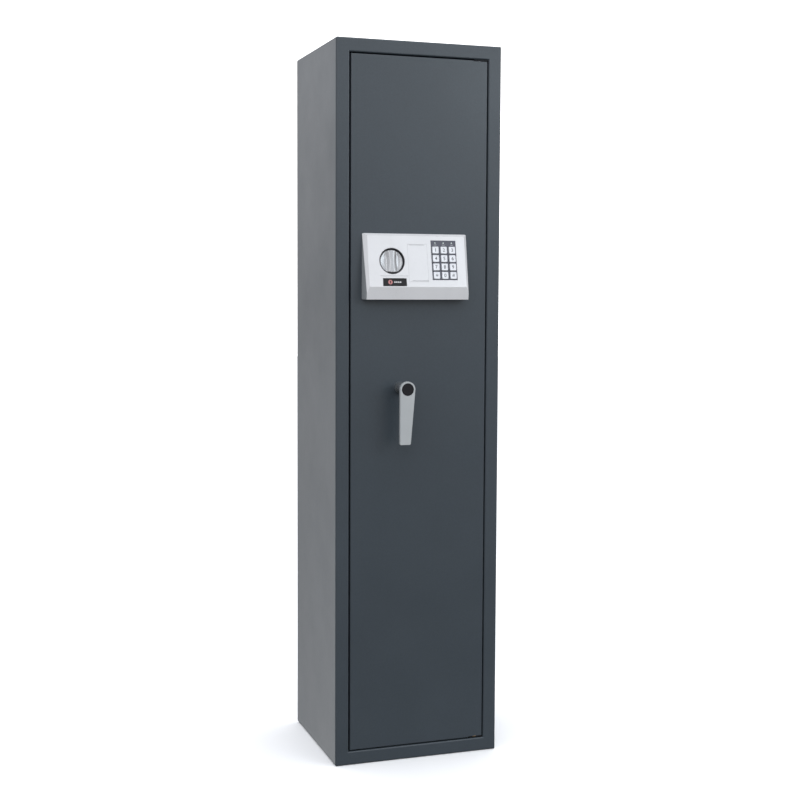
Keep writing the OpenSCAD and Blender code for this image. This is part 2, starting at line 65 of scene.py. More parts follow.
class Nodes:
    """A material's node tree with short helpers."""

    def __init__(self, name):
        self.mat = bpy.data.materials.new(name)
        self.mat.use_nodes = True
        self.t = self.mat.node_tree
        self.b = self.t.nodes["Principled BSDF"]
        self.co = self.t.nodes.new("ShaderNodeTexCoord").outputs["Object"]

    def add(self, kind, **settings):
        n = self.t.nodes.new(kind)
        for k, v in settings.items():
            setattr(n, k, v)
        return n

    def link(self, a, b):
        self.t.links.new(a, b)

    def noise(self, scale, detail=3.0, rough=0.5, stretch=None, lac=2.0):
        n = self.add("ShaderNodeTexNoise")
        n.inputs["Scale"].default_value = scale
        n.inputs["Detail"].default_value = detail
        n.inputs["Roughness"].default_value = rough
        n.inputs["Lacunarity"].default_value = lac
        if stretch:
            m = self.add("ShaderNodeMapping")
            m.inputs["Scale"].default_value = stretch
            self.link(self.co, m.inputs["Vector"])
            self.link(m.outputs["Vector"], n.inputs["Vector"])
        else:
            self.link(self.co, n.inputs["Vector"])
        return n.outputs["Fac"]

    def voronoi(self, scale, feature="F1"):
        n = self.add("ShaderNodeTexVoronoi", feature=feature)
        n.inputs["Scale"].default_value = scale
        self.link(self.co, n.inputs["Vector"])
        return n.outputs["Distance"]

    def ramp(self, fac, stops):
        n = self.add("ShaderNodeValToRGB")
        e = n.color_ramp.elements
        while len(e) < len(stops):
            e.new(0.5)
        for el, (p, col) in zip(e, stops):
            el.position = p
            el.color = (*col, 1) if len(col) == 3 else col
        self.link(fac, n.inputs["Fac"])
        return n.outputs["Color"]

    def span(self, fac, lo, hi, a=0.0, b=1.0):
        n = self.add("ShaderNodeMapRange")
        n.inputs["From Min"].default_value = a
        n.inputs["From Max"].default_value = b
        n.inputs["To Min"].default_value = lo
        n.inputs["To Max"].default_value = hi
        self.link(fac, n.inputs["Value"])
        return n.outputs["Result"]

    def math(self, op, a, b):
        n = self.add("ShaderNodeMath", operation=op)
        for i, v in enumerate((a, b)):
            if isinstance(v, (int, float)):
                n.inputs[i].default_value = v
            else:
                self.link(v, n.inputs[i])
        return n.outputs[0]

    def bump(self, height, strength, distance, after=None):
        n = self.add("ShaderNodeBump")
        n.inputs["Strength"].default_value = strength
        n.inputs["Distance"].default_value = distance
        self.link(height, n.inputs["Height"])
        if after is not None:
            self.link(after, n.inputs["Normal"])
        return n.outputs["Normal"]

    def set(self, **kw):
        names = {"base": "Base Color", "rough": "Roughness", "metal": "Metallic", "normal": "Normal", "spec": "Specular IOR Level",
                 "coat": "Coat Weight", "coat_rough": "Coat Roughness", "ior": "IOR", "sheen": "Sheen Weight", "trans": "Transmission Weight",
                 "aniso": "Anisotropic", "emit": "Emission Strength", "emit_col": "Emission Color", "alpha": "Alpha", "sss": "Subsurface Weight"}
        for k, v in kw.items():
            socket = self.b.inputs[names[k]]
            if isinstance(v, bpy.types.NodeSocket):
                self.link(v, socket)
            elif isinstance(v, tuple) and len(v) == 3:
                socket.default_value = (*v, 1)
            else:
                socket.default_value = v
        return self.mat


def tint(c, k):
    return tuple(min(1.0, x * k) for x in c)


def paint(name, base, rough=0.42, peel=0.10):
    """Powder coat: orange peel, finer grain, a little mottle and a few dull specks."""
    n = Nodes(name)
    big = n.noise(5.0, 4, 0.55)
    fine = n.noise(420, 2, 0.5)
    peeln = n.noise(230, 1.5, 0.45)
    grain = n.noise(1500, 2, 0.6)
    mottle = n.math("ADD", n.math("MULTIPLY", big, 0.55), n.math("MULTIPLY", fine, 0.45))
    col = n.ramp(mottle, [(0.30, tint(base, 0.90)), (0.52, base), (0.74, tint(base, 1.13))])
    rr = n.span(n.math("ADD", n.math("MULTIPLY", n.noise(9, 5, 0.6), 0.6), n.math("MULTIPLY", grain, 0.4)), rough - 0.05, rough + 0.06, 0.3, 0.7)
    nrm = n.bump(grain, 0.05, 0.0002, n.bump(peeln, peel, 0.0008))
    return n.set(base=col, rough=rr, normal=nrm, spec=0.45, metal=0.0)


def plastic(name, base, rough=0.35, grain=900, bump=0.05, coat=0.0, spec=0.5, metal=0.0, dist=0.0003):
    n = Nodes(name)
    v = n.noise(grain, 3, 0.6)
    w = n.noise(22, 4, 0.55)
    col = n.ramp(n.math("ADD", n.math("MULTIPLY", v, 0.4), n.math("MULTIPLY", w, 0.6)), [(0.3, tint(base, 0.955)), (0.5, base), (0.7, tint(base, 1.035))])
    rr = n.span(n.math("ADD", n.math("MULTIPLY", v, 0.5), n.math("MULTIPLY", w, 0.5)), rough - 0.05, rough + 0.06, 0.3, 0.7)
    return n.set(base=col, rough=rr, normal=n.bump(v, bump, dist), coat=coat, coat_rough=0.15, spec=spec, metal=metal)


def metal(name, base, rough=0.28, stretch=(900, 900, 40), bump=0.06, blotch=0.10, dark=0.75):
    """Machined or plated metal: fine drawn lines, cloudy plating and dull patches."""
    n = Nodes(name)
    lines = n.noise(1.0, 3, 0.7, stretch)
    cloud = n.noise(38, 5, 0.6)
    stain = n.noise(160, 3, 0.6)
    mixv = n.math("ADD", n.math("MULTIPLY", cloud, 0.6), n.math("MULTIPLY", stain, 0.4))
    col = n.ramp(mixv, [(0.34, tint(base, dark)), (0.5, base), (0.68, tint(base, 1.10))])
    rr = n.span(n.math("ADD", n.math("MULTIPLY", cloud, 0.5), n.math("MULTIPLY", lines, 0.5)), rough - blotch * 0.6, rough + blotch, 0.3, 0.7)
    return n.set(base=col, metal=1.0, rough=rr, normal=n.bump(lines, bump, 0.0002))


def foam(name, base):
    n = Nodes(name)
    v = n.voronoi(900)
    w = n.noise(300, 4, 0.6)
    col = n.ramp(w, [(0.35, tint(base, 0.7)), (0.65, tint(base, 1.5))])
    return n.set(base=col, rough=n.span(w, 0.78, 0.95, 0.3, 0.7), normal=n.bump(v, 0.5, 0.0006, n.bump(w, 0.3, 0.001)), spec=0.3)


def felt(name, base):
    n = Nodes(name)
    fib = n.noise(1.0, 4, 0.75, (1600, 260, 1600))
    fib2 = n.noise(1.0, 4, 0.75, (240, 1500, 1500))
    f = n.math("MAXIMUM", fib, fib2)
    blot = n.noise(60, 3, 0.5)
    col = n.ramp(n.math("ADD", n.math("MULTIPLY", f, 0.6), n.math("MULTIPLY", blot, 0.4)), [(0.38, tint(base, 0.5)), (0.55, base), (0.72, tint(base, 1.9))])
    return n.set(base=col, rough=0.95, sheen=0.3, normal=n.bump(f, 0.8, 0.0012), spec=0.15)


def board(name, base):
    n = Nodes(name)
    tracks = n.noise(1.0, 0, 0, (260, 260, 90))
    weave = n.noise(900, 2, 0.5)
    col = n.ramp(tracks, [(0.46, base), (0.5, tint(base, 1.6)), (0.54, base)])
    return n.set(base=col, rough=n.span(weave, 0.28, 0.42, 0.3, 0.7), normal=n.bump(tracks, 0.3, 0.0002), coat=0.3)


BODY = (0.0350, 0.0455, 0.0560)
M = {
    "paint": paint("powder_coat", BODY, 0.36),
    "paint_door": paint("powder_coat_door", BODY, 0.33, 0.085),
    "paint_in": paint("powder_coat_inside", tint(BODY, 0.92), rough=0.5, peel=0.08),
    "zinc": metal("zinc_plate", (0.60, 0.62, 0.64), 0.34, (60, 60, 60), 0.04, 0.12),
    "steel": metal("ground_steel", (0.50, 0.51, 0.53), 0.30, (40, 40, 1400), 0.10),
    "steel_disc": metal("turned_steel", (0.52, 0.53, 0.55), 0.28, (1200, 30, 1200), 0.08),
    "chrome": metal("bolt_chrome", (0.78, 0.79, 0.80), 0.10, (30, 1500, 1500), 0.03, 0.05, 0.92),
    "bronze": metal("bearing_bronze", (0.62, 0.42, 0.20), 0.36, (300, 300, 300), 0.05),
    "brass": metal("key_brass", (0.70, 0.56, 0.28), 0.28, (400, 400, 400), 0.05),
    "lever": plastic("lever_silver", (0.405, 0.425, 0.435), 0.38, 1400, 0.06, spec=0.5, metal=0.30),
    "neck": plastic("neck_satin", (0.17, 0.18, 0.19), 0.25, 1500, 0.03, coat=0.3, spec=0.6, metal=0.35),
    # near-black hinge leaves: painted shade for the door's top notch, where the leaf shows
    "leaf": metal("leaf_painted_shade", (0.020, 0.021, 0.023), 0.5, (200, 200, 200), 0.05),
    "cap": plastic("cap_black", (0.0045, 0.0045, 0.0065), 0.55, 1800, 0.22, spec=0.25, dist=0.0004),
    "silver": plastic("panel_silver", (0.60, 0.603, 0.618), 0.30, 2200, 0.03, coat=0.15, spec=0.5, metal=0.06),
    "silver_cover": plastic("cover_silver", (0.60, 0.603, 0.618), 0.31, 2200, 0.035, coat=0.15, spec=0.5, metal=0.06),
    # darker grey for the housing's side walls: painted shade on the sides
    "wall": plastic("shell_side_painted_shade", (0.255, 0.270, 0.282), 0.5, 1600, 0.10, spec=0.3),
    "dark": plastic("well_black", (0.012, 0.012, 0.016), 0.40, 1200, 0.08),
    "knob": plastic("knob_silver", (0.33, 0.335, 0.345), 0.27, 2400, 0.03, coat=0.1, spec=0.5, metal=0.50),
    "badge": plastic("badge_black", (0.007, 0.007, 0.008), 0.5, 2600, 0.05, spec=0.25),
    "mark": plastic("mark_grey", (0.55, 0.55, 0.56), 0.45, 1500, 0.03),
    "mark_red": plastic("mark_red", (0.42, 0.16, 0.155), 0.45, 1500, 0.03),
    "bezel": plastic("keypad_grey", (0.052, 0.053, 0.075), 0.38, 1500, 0.09),
    "key": plastic("key_light", (0.66, 0.675, 0.71), 0.36, 1900, 0.05, coat=0.1),
    "print": plastic("print_dark", (0.045, 0.045, 0.055), 0.5, 1500, 0.03),
    "led": plastic("led_lens", (0.62, 0.70, 0.66), 0.15, 900, 0.02, coat=0.6),
    "silicone": plastic("silicone_grey", (0.12, 0.12, 0.13), 0.6, 900, 0.1),
    "red": plastic("button_red", (0.40, 0.018, 0.018), 0.35, 1500, 0.05),
    "film": plastic("battery_film", (0.035, 0.045, 0.07), 0.25, 800, 0.02, coat=0.3),
    "foam": foam("closed_foam", (0.020, 0.020, 0.022)),
    "felt": felt("needle_felt", (0.030, 0.030, 0.034)),
    "pcb": board("solder_mask", (0.010, 0.085, 0.035)),
    "yellow": metal("yellow_zinc", (0.66, 0.56, 0.32), 0.32, (40, 40, 900), 0.05),
    "coil": metal("solenoid_zinc", (0.46, 0.47, 0.49), 0.38, (200, 200, 200), 0.06),
}

# ------------------------------------------------------------------ mesh helpers


def link_object(name, mesh):
    o = bpy.data.objects.new(name, mesh)
    bpy.context.collection.objects.link(o)
    return o


def from_bm(name, bm):
    bmesh.ops.recalc_face_normals(bm, faces=bm.faces)
    me = bpy.data.meshes.new(name)
    bm.to_mesh(me)
    bm.free()
    return link_object(name, me)


def bake(o):
    """Applies an object's modifiers."""
    dg = bpy.context.evaluated_depsgraph_get()
    me = bpy.data.meshes.new_from_object(o.evaluated_get(dg))
    o.modifiers.clear()
    old = o.data
    o.data = me
    bpy.data.meshes.remove(old)
    return o


def smooth(o, angle=32):
    me = o.data
    bm = bmesh.new()
    bm.from_mesh(me)
    for f in bm.faces:
        f.smooth = True
    for e in bm.edges:
        e.smooth = not (len(e.link_faces) == 2 and e.calc_face_angle(0) > math.radians(angle))
    bm.to_mesh(me)
    bm.free()
    return o


def soften(o, width, segs=3, angle=35, weighted=True):
    m = o.modifiers.new("edges", "BEVEL")
    m.width = width * MM
    m.segments = segs
    m.limit_method = "ANGLE"
    m.angle_limit = math.radians(angle)
    m.miter_outer = "MITER_ARC"
    m.use_clamp_overlap = True
    m.harden_normals = False
    bake(o)
    smooth(o, 50)
    if weighted:
        w = o.modifiers.new("normals", "WEIGHTED_NORMAL")
        w.keep_sharp = True
        w.weight = 80
    return o


def cut(o, cutter, op="DIFFERENCE"):
    m = o.modifiers.new("cut", "BOOLEAN")
    m.operation = op
    m.solver = "EXACT"
    m.object = cutter
    bake(o)
    bpy.data.objects.remove(cutter)
    return o


def finish_piece(o, mat, body, nodes=()):
    o.data.materials.clear()
    o.data.materials.append(M[mat] if isinstance(mat, str) else mat)
    for p in o.data.polygons:
        p.material_index = 0
    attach(o, body)
    if nodes:
        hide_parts(*nodes)
    return o


# the panel's sloping face: x across, y into the panel, z up the slope
AL = math.atan(17.5 / 91)
FACE = Matrix.Translation((0, -0.155, 0.832)) @ Matrix.Rotation(-AL, 4, "X")
KX, KV = -55.0, 44 / math.cos(AL)
K0, KP, V0, VP, KW = 24.5, 15.2, 64.56, 14.77, 11.7
KH = KW + 0.8


def bm_box(a, b):
    bm = bmesh.new()
    bmesh.ops.create_cube(bm, size=1)
    for v in bm.verts:
        v.co = Vector([(a[i] + b[i]) / 2 + v.co[i] * (b[i] - a[i]) for i in range(3)]) * MM
    return bm


def round_outline(x0, z0, x1, z1, r, n=6):
    pts = []
    for cx, cz, a0 in ((x1 - r, z1 - r, 0), (x0 + r, z1 - r, 90), (x0 + r, z0 + r, 180), (x1 - r, z0 + r, 270)):
        for i in range(n + 1):
            a = math.radians(a0 + 90 * i / n)
            pts.append((cx + r * math.cos(a), cz + r * math.sin(a)))
    return pts


def circle_pts(cx, cz, r, n=96):
    return [(cx + r * math.cos(2 * math.pi * i / n), cz + r * math.sin(2 * math.pi * i / n)) for i in range(n)]


def prism(pts, y0, y1):
    """A plane outline (x, z) given thickness along y."""
    bm = bmesh.new()
    a = [bm.verts.new((x * MM, y0 * MM, z * MM)) for x, z in pts]
    b = [bm.verts.new((x * MM, y1 * MM, z * MM)) for x, z in pts]
    bm.faces.new(a)
    bm.faces.new(b[::-1])
    for i in range(len(pts)):
        j = (i + 1) % len(pts)
        bm.faces.new((a[i], b[i], b[j], a[j]))
    return bm


def lathe(profile, n=96):
    """A closed solid turned about Y from (radius, y) pairs; the first and last lie on the axis."""
    bm = bmesh.new()
    rings = []
    for r, y in profile:
        if r < 1e-6:
            rings.append([bm.verts.new((0, y * MM, 0))])
        else:
            rings.append([bm.verts.new((r * math.cos(2 * math.pi * i / n) * MM, y * MM, r * math.sin(2 * math.pi * i / n) * MM)) for i in range(n)])
    for p, q in zip(rings, rings[1:]):
        for i in range(n):
            j = (i + 1) % n
            if len(p) == 1:
                bm.faces.new((p[0], q[i], q[j]))
            elif len(q) == 1:
                bm.faces.new((p[i], q[0], p[j]))
            else:
                bm.faces.new((p[i], q[i], q[j], p[j]))
    return bm


def arc(cx, cy, r, a0, a1, n=5):
    return [(cx + r * math.cos(math.radians(a0 + (a1 - a0) * i / n)), cy + r * math.sin(math.radians(a0 + (a1 - a0) * i / n))) for i in range(n + 1)]


def cad_copy(node, name, mat, body, slot, width=0.0, segs=2, angle=35):
    """The CAD node's own shape with its edges softened."""
    me = NODES[node].data.copy()
    o = link_object(name, me)
    bm = bmesh.new()
    bm.from_mesh(me)
    bmesh.ops.remove_doubles(bm, verts=bm.verts, dist=1e-6)
    bmesh.ops.dissolve_limit(bm, angle_limit=math.radians(0.8), verts=bm.verts, edges=bm.edges)
    bm.to_mesh(me)
    bm.free()
    for attr in list(me.attributes):
        if attr.name in ("custom_normal", "sharp_face", "sharp_edge"):
            me.attributes.remove(attr)
    if width:
        soften(o, width, segs, angle)
    else:
        smooth(o, angle)
    return finish_piece(o, mat, body, (node,))


def cad_material(node, mat):
    o = NODES[node]
    for i in range(len(o.data.materials)):
        o.data.materials[i] = M[mat]
    if not o.data.materials:
        o.data.materials.append(M[mat])


def take(node):
    """An editable copy of a CAD node's mesh, in millimetre-free bmesh form with its flat faces joined."""
    bm = bmesh.new()
    bm.from_mesh(NODES[node].data)
    bmesh.ops.remove_doubles(bm, verts=bm.verts, dist=2e-6)
    bmesh.ops.dissolve_limit(bm, angle_limit=math.radians(0.5), verts=bm.verts, edges=bm.edges)
    return bm


def bevel(bm, pred, width, segs=2):
    """Rounds the sharp edges for which pred(edge, middle, angle) holds. Middles are in millimetres."""
    es = []
    for e in bm.edges:
        if len(e.link_faces) != 2:
            continue
        a = e.calc_face_angle(0)
        if a < math.radians(20):
            continue
        m = (e.verts[0].co + e.verts[1].co) / 2 / MM
        if pred(e, m, math.degrees(a)):
            es.append(e)
    if es:
        bmesh.ops.bevel(bm, geom=es, offset=width * MM, segments=segs, profile=0.5, affect="EDGES", clamp_overlap=True, loop_slide=True)
    return bm


def fresh(name, bm, mat, body, nodes=(), angle=40, weighted=True, world=None):
    o = from_bm(name, bm)
    if world is not None:
        o.data.transform(world)
    smooth(o, angle)
    if weighted:
        w = o.modifiers.new("normals", "WEIGHTED_NORMAL")
        w.keep_sharp = True
        w.weight = 70
        bake(o)
    return finish_piece(o, mat, body, nodes)


def loft(rings):
    """A closed solid through rings of points, all with the same count."""
    bm = bmesh.new()
    vs = [[bm.verts.new(Vector(p) * MM) for p in r] for r in rings]
    n = len(vs[0])
    bm.faces.new(vs[0])
    bm.faces.new(vs[-1][::-1])
    for a, b in zip(vs, vs[1:]):
        for i in range(n):
            j = (i + 1) % n
            bm.faces.new((a[i], b[i], b[j], a[j]))
    return bm


def slab(x0, z0, x1, z1, r, y0, y1, edge=0.5, back=0.0, n=5, steps=3):
    """A plate with rounded corners and a rounded front edge; y0 is the front."""
    rings = []
    for i in range(steps + 1):
        a = math.pi / 2 * i / steps
        o = -edge * (1 - math.sin(a))
        rings.append([(x, y0 + edge * (1 - math.cos(a)), z) for x, z in round_outline(x0 - o, z0 - o, x1 + o, z1 + o, max(0.05, r + o), n)])
    if back:
        rings.append([(x, y1 - back, z) for x, z in round_outline(x0, z0, x1, z1, r, n)])
        rings.append([(x, y1, z) for x, z in round_outline(x0 + back, z0 + back, x1 - back, z1 - back, max(0.05, r - back), n)])
    else:
        rings.append([(x, y1, z) for x, z in round_outline(x0, z0, x1, z1, r, n)])
    return loft(rings)


def merge(*bms):
    out = bmesh.new()
    for b in bms:
        me = bpy.data.meshes.new("part")
        b.to_mesh(me)
        b.free()
        out.from_mesh(me)
        bpy.data.meshes.remove(me)
    return out


def moved(bm, m):
    bm.transform(m)
    return bm


def fillet(pts, radii, n=6):
    """Rounds the corners of a plane polygon."""
    out = []
    k = len(pts)
    for i, (p, r) in enumerate(zip(pts, radii)):
        p, a, b = Vector(p), Vector(pts[i - 1]), Vector(pts[(i + 1) % k])
        if r <= 0:
            out.append(tuple(p))
            continue
        u, v = (a - p).normalized(), (b - p).normalized()
        half = u.angle(v) / 2
        t = min(r / math.tan(half), (a - p).length * 0.49, (b - p).length * 0.49)
        rr = t * math.tan(half)
        cen = p + (u + v).normalized() * (rr / math.sin(half))
        s0, s1 = p + u * t, p + v * t
        a0 = math.atan2(s0.y - cen.y, s0.x - cen.x)
        a1 = math.atan2(s1.y - cen.y, s1.x - cen.x)
        d = (a1 - a0 + math.pi) % (2 * math.pi) - math.pi
        for j in range(n + 1):
            w = a0 + d * j / n
            out.append((cen.x + rr * math.cos(w), cen.y + rr * math.sin(w)))
    return out


def word(name, text, size, cx, cy, depth, thick, mat, body, world):
    """Raised figures lying on a plane y = depth of the given frame."""
    cu = bpy.data.curves.new(name, "FONT")
    cu.body = text
    cu.size = size * MM
    cu.align_x = "CENTER"
    cu.align_y = "CENTER"
    cu.extrude = thick / 2 * MM
    cu.resolution_u = 6
    cu.offset = 0.00006
    o = bpy.data.objects.new(name, cu)
    bpy.context.collection.objects.link(o)
    dg = bpy.context.evaluated_depsgraph_get()
    me = bpy.data.meshes.new_from_object(o.evaluated_get(dg))
    bpy.data.objects.remove(o)
    xs = [v.co.x for v in me.vertices]
    ys = [v.co.y for v in me.vertices]
    mx, my = (min(xs) + max(xs)) / 2, (min(ys) + max(ys)) / 2
    # text plane x, y to frame x, z
    me.transform(Matrix.Translation((-mx, -my, 0)))
    me.transform(Matrix.Rotation(math.pi / 2, 4, "X"))
    me.transform(Matrix.Translation(Vector((cx, depth - thick / 2, cy)) * MM))
    me.transform(world)
    bm = bmesh.new()
    bm.from_mesh(me)
    bmesh.ops.remove_doubles(bm, verts=bm.verts, dist=1e-6)
    bm.to_mesh(me)
    bm.free()
    p = link_object(name, me)
    return finish_piece(p, mat, body)


# ------------------------------------------------------------------ CAD nodes that keep their shape
for node, mat in {
    "left_side_panel": "paint", "right_side_panel": "paint", "top_panel": "paint", "bottom_panel": "paint", "back_panel": "paint",
    "hinge_leaves": "leaf", "hinge_pins": "steel", "hinge_washer": "bronze", "barrel_rest_bracket": "paint_in",
    "door_panel": "paint_door", "pivot_blocks": "zinc", "bolt_guide": "zinc", "cover_rail": "zinc", "boltwork_cover": "paint_in",
    "rod_guides": "zinc", "spindle_bush": "zinc", "lever_spindle": "steel", "cam_disc": "zinc", "bolt_bar": "zinc",
    "side_bolts": "chrome", "bolt_nuts": "zinc", "upper_rod": "steel", "lower_rod": "steel", "housing_screws": "zinc",
    "knob_spindle": "steel", "lock_slide": "yellow", "lock_case": "zinc", "solenoid_body": "coil", "solenoid_plunger": "steel",
    "control_board": "pcb", "reset_button": "red", "battery": "film", "key_cylinder": "zinc", "key_plug": "brass",
    "keypad_mat": "silicone", "keypad_board": "pcb", "barrel_rest": "foam", "floor_mat": "felt", "lock_housing": "silver",
    "knob_ring": "dark", "knob": "knob", "battery_cover": "silver_cover", "badge_cover": "badge", "keypad_bezel": "bezel",
    "status_leds": "led", "lever_handle": "lever", "lever_cap": "cap", "cover_screws": "zinc",
}.items():
    cad_material(node, mat)
for k in ("1", "2", "3", "4", "5", "6", "7", "8", "9", "star", "0", "hash"):
    cad_material("key_" + k, "key")

# ------------------------------------------------------------------ body sheet and door with rounded bends
for node in ("left_side_panel", "right_side_panel", "top_panel", "bottom_panel"):
    bm = take(node)
    fresh("skin_" + node, bm, "paint", "cabinet", (node,), angle=38)
bm = take("back_panel")
bevel(bm, lambda e, m, a: abs(m.y - 130) < 0.05 and a > 60 and (abs(abs(m.x) - 150) < 0.2 or m.z < 0.2 or m.z > 1249.8), 0.6, 2)
fresh("skin_back_panel", bm, "paint", "cabinet", ("back_panel",), angle=38)
bm = take("door_panel")
fresh("door_skin", bm, "paint_door", "door", ("door_panel",), angle=38)

# ------------------------------------------------------------------ lock panel


def depth_of(p):
    """Depth of a point below the sloping face, and its height up the slope, in millimetres."""
    q = FACE.inverted() @ (Vector(p) * MM)
    return q.y / MM, q.z / MM


bm = take("lock_housing")


def shell_edge(e, m, a):
    if m.y > -129.6:
        return False
    d, v = depth_of(m)
    if m.x < -100.9 or m.x > 82.0 or m.z > 922.9 or m.z < 810.6:
        return True
    return abs(d) < 0.02 and (m.x < -97.4 or m.x > 78.4 or v > 88.6 or abs(v) < 0.02)


bevel(bm, shell_edge, 0.7, 3)
bevel(bm, lambda e, m, a: abs(depth_of(m)[0]) < 0.02 and a > 60 and abs(math.hypot(m.x - KX, depth_of(m)[1] - KV) - 22.75) < 0.15, 0.45, 3)
bevel(bm, lambda e, m, a: abs(depth_of(m)[0]) < 0.02 and a > 60 and -78 < m.x < 64 and math.hypot(m.x - KX, depth_of(m)[1] - KV) > 24, 0.12, 2)
shell = fresh("panel_shell", bm, "silver", "door", ("lock_housing",), angle=30)
# the side faces take the darker grey: painted shade on the housing's side walls
shell.data.materials.append(M["wall"])
for f in shell.data.polygons:
    if abs(f.normal.x) > 0.985 and (f.center.x < -0.1005 or f.center.x > 0.0815) and f.area > 2e-5:
        f.material_index = 1

bm = take("battery_cover")
bevel(bm, lambda e, m, a: abs(depth_of(m)[0]) < 0.02 and a > 60 and (abs(m.x + 26) < 0.1 or abs(m.x - 9) < 0.1 or abs(depth_of(m)[1] - 9.2) < 0.1 or abs(depth_of(m)[1] - 74.3) < 0.1), 0.12, 2)
for w in bm.verts:
    d, v = depth_of(w.co / MM)
    if d < 2.2:
        x = w.co.x / MM
        if abs(x + 26) < 0.2 or abs(x - 9) < 0.2:
            w.co.x += (0.17 if x > 0 else -0.17) * MM
        if abs(v - 9.2) < 0.2 or abs(v - 74.3) < 0.2:
            w.co += (FACE.to_3x3() @ Vector((0, 0, 0.13 if v > 40 else -0.13))) * MM
fresh("cover_skin", bm, "silver_cover", "battery_lid", ("battery_cover",))

# badge plate with a rounded front edge, a red dot, a plain keyhole mark and four bars
badge = slab(-73, 1.6, -31, 14.8, 0.9, 0, 1.5, 0.35)
fresh("badge_plate", moved(badge, FACE), "badge", "badge", ("badge_cover",))
dot = moved(prism(circle_pts(-60.2, 8.2, 3.9, 56), -0.06, 0.3), FACE)
fresh("badge_dot", dot, "mark_red", "badge", weighted=False)
hole = merge(
    prism(circle_pts(-60.2, 9.3, 1.15, 32), -0.12, 0.3),
    prism([(-60.75, 8.7), (-61.2, 6.1), (-59.2, 6.1), (-59.65, 8.7)], -0.12, 0.3),
)
fresh("badge_keyhole", moved(hole, FACE), "badge", "badge", weighted=False)
bars = [prism(round_outline(-53.6 + 3.4 * k, 7.1, -51.0 + 3.4 * k, 9.4, 0.4, 4), -0.06, 0.3) for k in range(4)]
fresh("badge_bars", moved(merge(*bars), FACE), "mark", "badge", weighted=False)

# knob well
KN = FACE @ Matrix.Translation(Vector((KX, 0, KV)) * MM)
ring = lathe([(4.6, 9.8), (21.0, 9.8), (21.2, 9.6), (21.2, 1.0), (21.4, 0.7), (21.8, 0.55), (22.5, 0.55), (22.72, 0.8), (22.75, 1.2), (22.75, 10.5), (4.6, 10.5), (4.6, 9.8)], 128)
bmesh.ops.remove_doubles(ring, verts=ring.verts, dist=1e-7)
fresh("knob_well", moved(ring, KN), "dark", "door", ("knob_ring",))

# knob: a disc with a waisted grip, scooped at both sides


def sstep(t):
    t = max(0.0, min(1.0, t))
    return t * t * (3 - 2 * t)


def knob_mesh(R=20.5, top=0.6, base=3.5, back=9.4, rings=64, segs=144):
    bm = bmesh.new()
    cent = bm.verts.new((0, top * MM, 0))
    prev = None
    for i in range(1, rings + 1):
        r = R * i / rings
        row = []
        for j in range(segs):
            a = 2 * math.pi * j / segs
            x, z = r * math.cos(a), r * math.sin(a)
            w = 2.7 + 2.3 * (abs(z) / 19) ** 2
            side = sstep((abs(x) - w + 0.8) / 7.4)
            end = sstep((r - 18.6) / 1.9)
            scoop = 0.9 * sstep((abs(x) - w - 3) / 6) * (1 - sstep((r - 14) / 5.5))
            y = top + (base - top) * max(side, end) + scoop
            rim = max(0.0, (r - (R - 1.1)) / 1.1)
            y += 1.0 * (1 - math.sqrt(max(0, 1 - rim * rim)))
            row.append(bm.verts.new((x * MM, y * MM, z * MM)))
        if prev is None:
            for j in range(segs):
                bm.faces.new((cent, row[j], row[(j + 1) % segs]))
        else:
            for j in range(segs):
                k = (j + 1) % segs
                bm.faces.new((prev[j], row[j], row[k], prev[k]))
        prev = row
    for y, r in ((back - 0.4, R), (back, R - 0.4)):
        row = [bm.verts.new((r * math.cos(2 * math.pi * j / segs) * MM, y * MM, r * math.sin(2 * math.pi * j / segs) * MM)) for j in range(segs)]
        for j in range(segs):
            k = (j + 1) % segs
            bm.faces.new((prev[j], row[j], row[k], prev[k]))
        prev = row
    bm.faces.new(prev)
    return bm


fresh("knob_turn_grip", moved(knob_mesh(), KN), "knob", "knob_assembly", ("knob",), angle=50, weighted=False)

# keypad
bm = take("keypad_bezel")
bevel(bm, lambda e, m, a: abs(depth_of(m)[0] - 0.2) < 0.03 and a > 60 and not depth_of(m)[1] > 75.5 or (abs(depth_of(m)[0] - 0.2) < 0.03 and a > 60 and (m.x < 17 or m.x > 62 or depth_of(m)[1] > 81)), 0.16, 2)
fresh("keypad_frame", bm, "bezel", "door", ("keypad_bezel",))

names = ["1", "2", "3", "4", "5", "6", "7", "8", "9", "star", "0", "hash"]
signs = ["1", "2", "3", "4", "5", "6", "7", "8", "9", "*", "0", "#"]
for i, (k, sign) in enumerate(zip(names, signs)):
    cx, cv = K0 + KP * (i % 3), V0 - VP * (i // 3)
    x0, x1, z0, z1 = cx - KW / 2, cx + KW / 2, cv - KH / 2, cv + KH / 2
    rings = []
    # dished top, rounded shoulders, a slight draft to the foot
    for inset, y in ((3.6, -1.28), (1.7, -1.36), (1.15, -1.46), (0.85, -1.5), (0.62, -1.47), (0.38, -1.33), (0.24, -1.08), (0.16, -0.7), (0.0, 3.9)):
        rings.append([(x, y, z) for x, z in round_outline(x0 + inset, z0 + inset, x1 - inset, z1 - inset, max(0.35, 1.3 - inset * 0.35), 5)])
    body = f"key_{k}_body"
    fresh(f"cap_{k}", moved(loft(rings), FACE), "key", body, ("key_" + k,), angle=60, weighted=False)
    size = 8.4 if sign in "0123456789" else (11.5 if sign == "*" else 7.2)
    word(f"figure_{k}", sign, size, cx, cv, -1.27, 0.10, "print", body, FACE)

